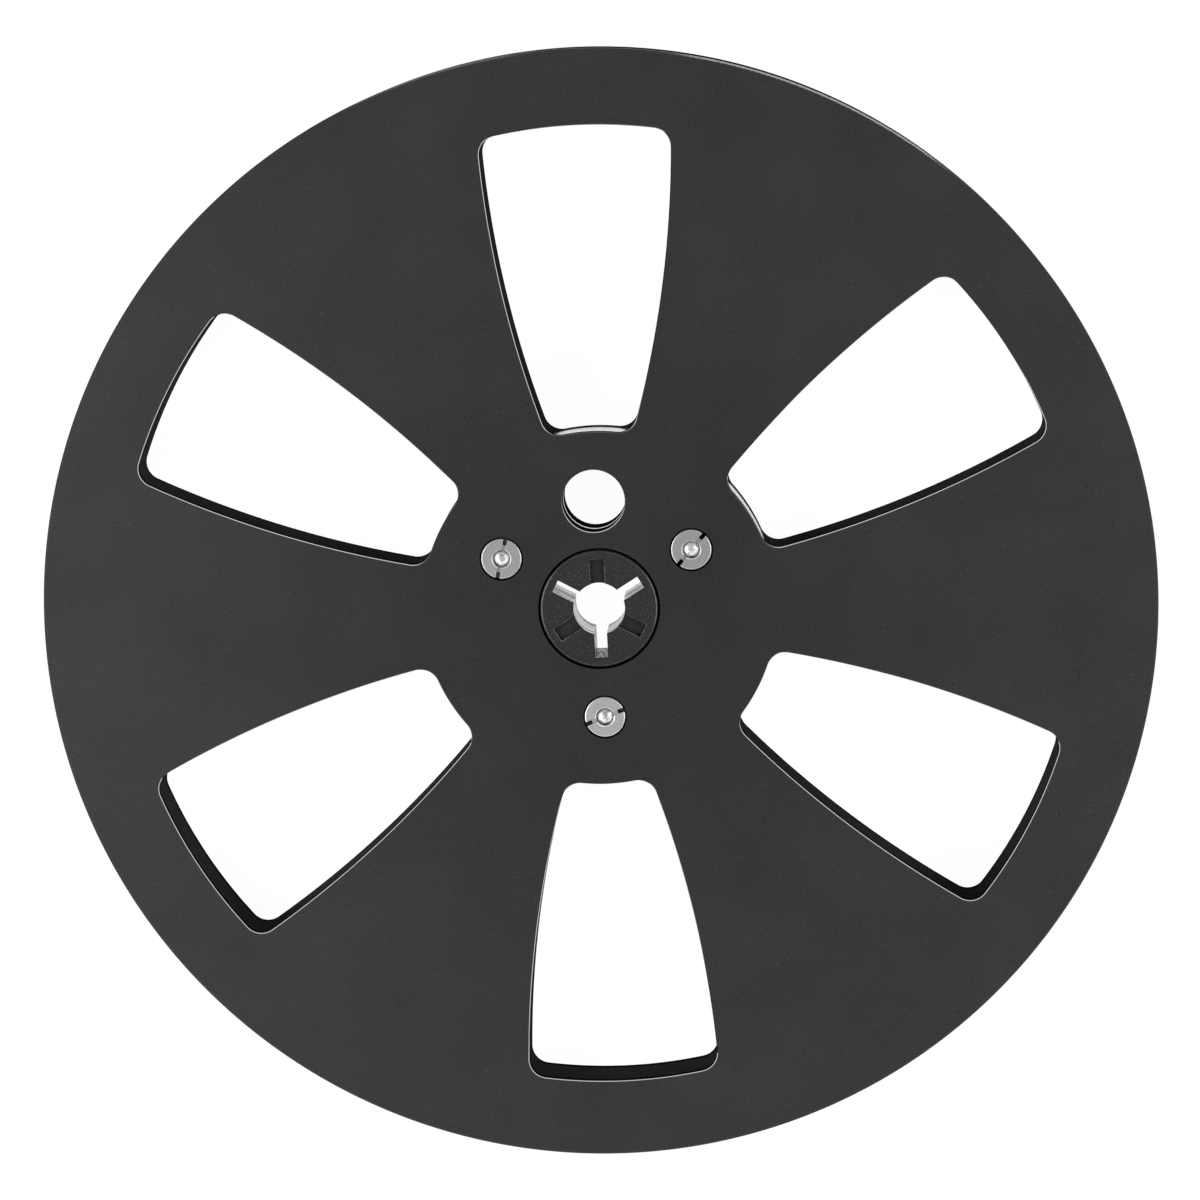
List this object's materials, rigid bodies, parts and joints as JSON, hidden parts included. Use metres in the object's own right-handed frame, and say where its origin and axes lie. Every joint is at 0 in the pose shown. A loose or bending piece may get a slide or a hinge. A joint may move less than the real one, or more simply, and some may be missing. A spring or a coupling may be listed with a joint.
{
  "type": "audio tape reel",
  "caption": "Metal open reel for quarter-inch audio tape: two black windowed flanges on a split hub with a three-slot spindle hole.",
  "frame": {"origin": "centre of the spindle hole at the rear face, which is the face that the reel lies on", "axes": "+Z along the spindle axis towards the nut side, +Y through the centre of the threading hole"},
  "size_m": [0.178, 0.178, 0.0115],
  "materials": {
    "flange": "bead-blasted, black anodised",
    "hub": "turned, with black anodised faces",
    "nut": "turned, nickel-plated",
    "screw": "polished, nickel-plated"
  },
  "bodies": {
    "root": {"front_flange": "flange", "rear_flange": "flange", "front_hub_half": "hub", "rear_hub_half": "hub", "nut_upper_right": "nut", "nut_upper_left": "nut", "nut_bottom": "nut", "screw_upper_right": "screw", "screw_upper_left": "screw", "screw_bottom": "screw"}
  },
  "joints": []
}
